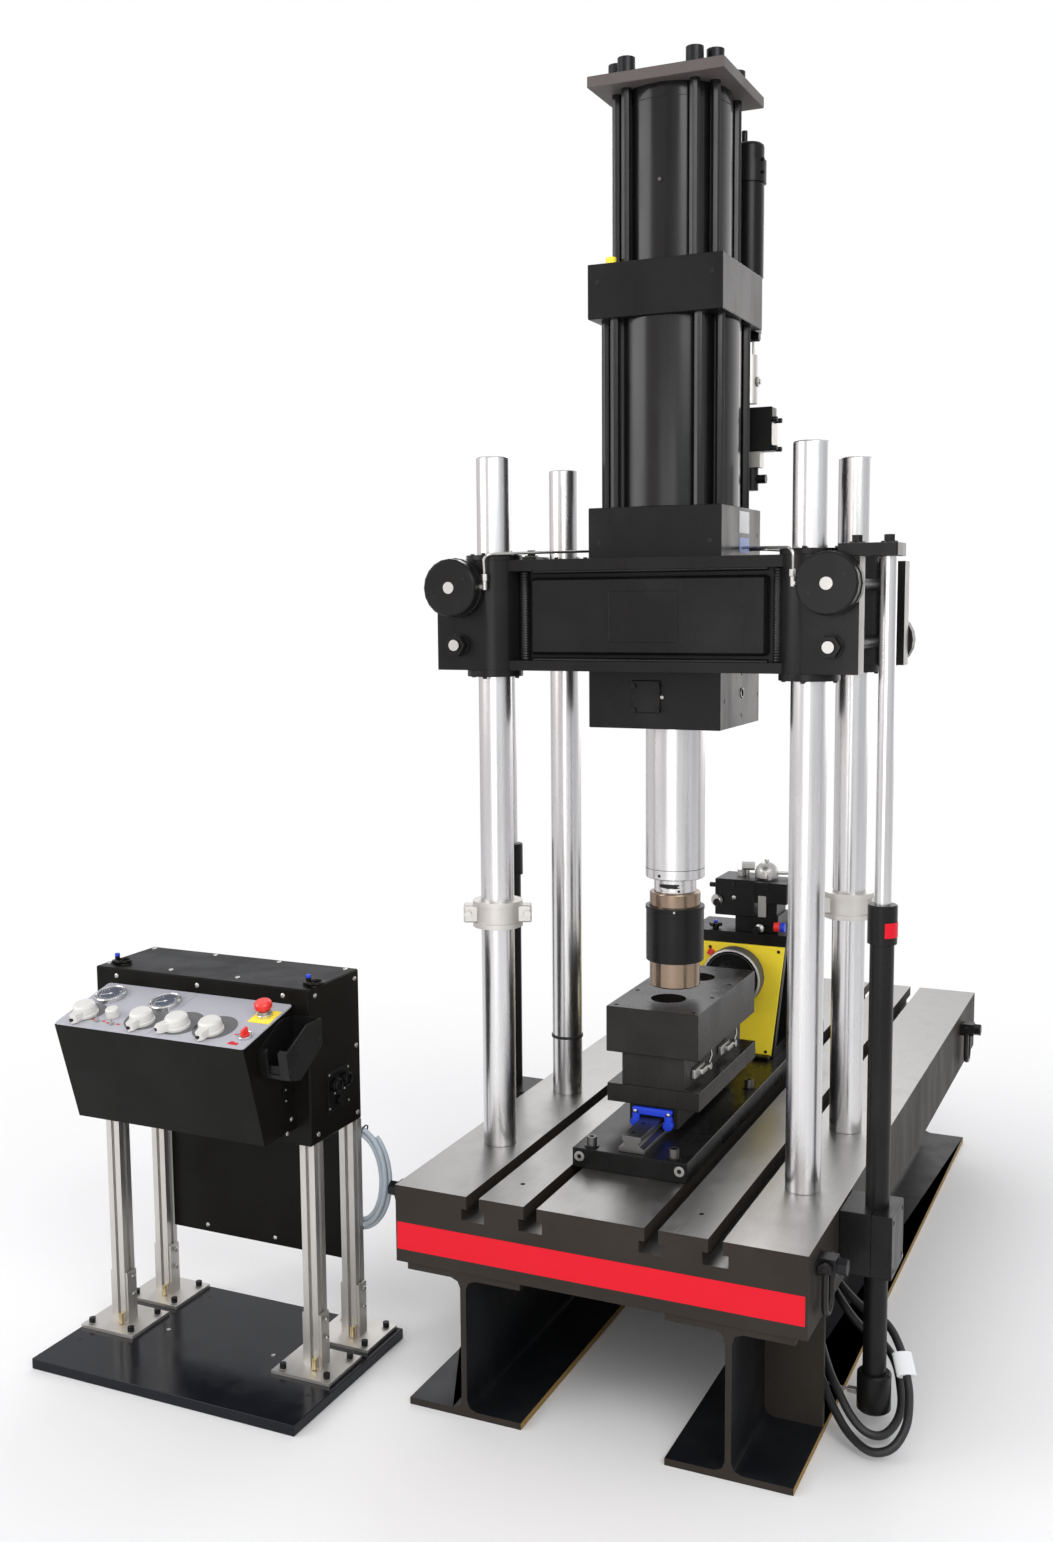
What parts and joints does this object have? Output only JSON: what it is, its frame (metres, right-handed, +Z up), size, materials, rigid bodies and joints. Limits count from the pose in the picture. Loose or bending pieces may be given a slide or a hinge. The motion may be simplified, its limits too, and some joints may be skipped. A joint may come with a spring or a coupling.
{
  "type": "universal testing machine",
  "caption": "Four-column servo-hydraulic load frame with a T-slotted table, lifting crosshead and actuator, sliding shear fixture and free-standing operator console.",
  "frame": {"origin": "on the floor under the axis of the actuator, at the centre of the four columns", "axes": "+X to the right across the table as the operator faces it, +Y back along the T-slots, +Z up along the actuator"},
  "size_m": [1.9272, 2.3664, 2.9185],
  "materials": {
    "black_paint": "semi-gloss",
    "beam_paint": "satin",
    "ground_steel": "ground",
    "chrome": "polished",
    "bronze_nickel": "warm plated",
    "cast_alloy": "machined",
    "blackened_steel": "blackened",
    "yellow_paint": "satin",
    "panel_grey": "satin",
    "ivory_plastic": "moulded",
    "red_plastic": "moulded",
    "cable_grey": "matte",
    "hose_rubber": "matte"
  },
  "bodies": {
    "frame": {"beam_left": "beam_paint", "beam_right": "beam_paint", "t_slot_table": "ground_steel", "column_front_left": "chrome", "column_front_right": "chrome", "column_rear_left": "chrome", "column_rear_right": "chrome", "stop_collar_front_left": "cast_alloy", "stop_collar_rear_right": "cast_alloy", "lift_cylinder_left": "black_paint", "lift_cylinder_right": "black_paint", "shear_base_plate": "black_paint", "shear_guide_rail": "ground_steel", "thrust_bracket": "black_paint", "shear_guard_plate": "yellow_paint", "shear_ram": "black_paint", "shear_valve_manifold": "black_paint", "console_base_plate": "black_paint", "console_leg_front_left": "cast_alloy", "console_leg_front_right": "cast_alloy", "console_leg_rear_left": "cast_alloy", "console_leg_rear_right": "cast_alloy", "console_cabinet": "black_paint", "control_panel": "panel_grey", "handset_cradle": "black_paint", "console_cable_coil": "cable_grey", "hose_outer": "hose_rubber", "hose_inner": "hose_rubber"},
    "crosshead_body": {"crosshead": "black_paint", "crosshead_cover": "black_paint", "clamp_stud_left_lower": "black_paint", "clamp_stud_left_upper": "black_paint", "clamp_stud_right_lower": "black_paint", "clamp_stud_right_upper": "black_paint", "lift_rod_left": "chrome", "lift_rod_right": "chrome", "actuator_nose_block": "black_paint", "actuator_base_block": "black_paint", "actuator_lower_barrel": "black_paint", "actuator_middle_block": "black_paint", "actuator_upper_barrel": "black_paint", "actuator_top_plate": "black_paint", "servo_valve_manifold": "black_paint"},
    "piston": {"piston_rod": "chrome", "load_cell": "bronze_nickel", "load_cell_sleeve": "black_paint"},
    "shear_slide_body": {"shear_carriage": "blackened_steel", "shear_block": "blackened_steel", "load_ring": "chrome"},
    "bow_front_right": {"hoist_bow_front_right": "blackened_steel"},
    "bow_front_left": {"hoist_bow_front_left": "blackened_steel"},
    "bow_rear_right": {"hoist_bow_rear_right": "blackened_steel"},
    "bow_rear_left": {"hoist_bow_rear_left": "blackened_steel"},
    "flow_knob_body": {"flow_knob": "ivory_plastic"},
    "pressure_knob_body": {"pressure_knob": "ivory_plastic"},
    "speed_knob_body": {"speed_knob": "ivory_plastic"},
    "direction_knob_body": {"direction_knob": "ivory_plastic"},
    "trim_knob_body": {"trim_knob": "ivory_plastic"},
    "mode_selector_body": {"mode_selector": "red_plastic"},
    "emergency_stop_body": {"emergency_stop_button": "red_plastic"}
  },
  "joints": [
    {"name": "crosshead_lift", "type": "slide", "parent": "frame", "child": "crosshead_body", "axis": [0, 0, 1], "range_m": [-0.01, 0.2]},
    {"name": "actuator_stroke", "type": "slide", "parent": "crosshead_body", "child": "piston", "axis": [0, 0, 1], "range_m": [-0.02, 0.13]},
    {"name": "shear_travel", "type": "slide", "parent": "frame", "child": "shear_slide_body", "axis": [0, 1, 0], "range_m": [-0.08, 0.003]},
    {"name": "bow_front_right_swing", "type": "hinge", "parent": "frame", "child": "bow_front_right", "pos_m": [0.476, -0.45, 0.4547], "axis": [0, -1, 0], "range_deg": [0, 90]},
    {"name": "bow_front_left_swing", "type": "hinge", "parent": "frame", "child": "bow_front_left", "pos_m": [-0.476, -0.45, 0.4547], "axis": [0, 1, 0], "range_deg": [0, 90]},
    {"name": "bow_rear_right_swing", "type": "hinge", "parent": "frame", "child": "bow_rear_right", "pos_m": [0.476, 1.3494, 0.4547], "axis": [0, -1, 0], "range_deg": [0, 90]},
    {"name": "bow_rear_left_swing", "type": "hinge", "parent": "frame", "child": "bow_rear_left", "pos_m": [-0.476, 1.3494, 0.4547], "axis": [0, 1, 0], "range_deg": [0, 90]},
    {"name": "flow_turn", "type": "hinge", "parent": "frame", "child": "flow_knob_body", "pos_m": [-1.163, -0.68254, 0.84331], "axis": [0, -0.2462, 0.9692], "range_deg": [-45, 45]},
    {"name": "pressure_turn", "type": "hinge", "parent": "frame", "child": "pressure_knob_body", "pos_m": [-1.005, -0.68254, 0.84331], "axis": [0, -0.2462, 0.9692], "range_deg": [-45, 45]},
    {"name": "speed_turn", "type": "hinge", "parent": "frame", "child": "speed_knob_body", "pos_m": [-0.909, -0.68254, 0.84331], "axis": [0, -0.2462, 0.9692], "range_deg": [-10, 80]},
    {"name": "direction_turn", "type": "hinge", "parent": "frame", "child": "direction_knob_body", "pos_m": [-0.82, -0.68254, 0.84331], "axis": [0, -0.2462, 0.9692], "range_deg": [-45, 45]},
    {"name": "trim_turn", "type": "hinge", "parent": "frame", "child": "trim_knob_body", "pos_m": [-1.09, -0.67769, 0.84454], "axis": [0, -0.2462, 0.9692], "range_deg": [-150, 150]},
    {"name": "mode_turn", "type": "hinge", "parent": "frame", "child": "mode_selector_body", "pos_m": [-0.728, -0.68738, 0.84208], "axis": [0, -0.2462, 0.9692], "range_deg": [-45, 45]},
    {"name": "emergency_stop_press", "type": "slide", "parent": "frame", "child": "emergency_stop_body", "axis": [0, 0.2462, -0.9692], "range_m": [0, 0.005], "stiffness_N_per_m": 800}
  ]
}
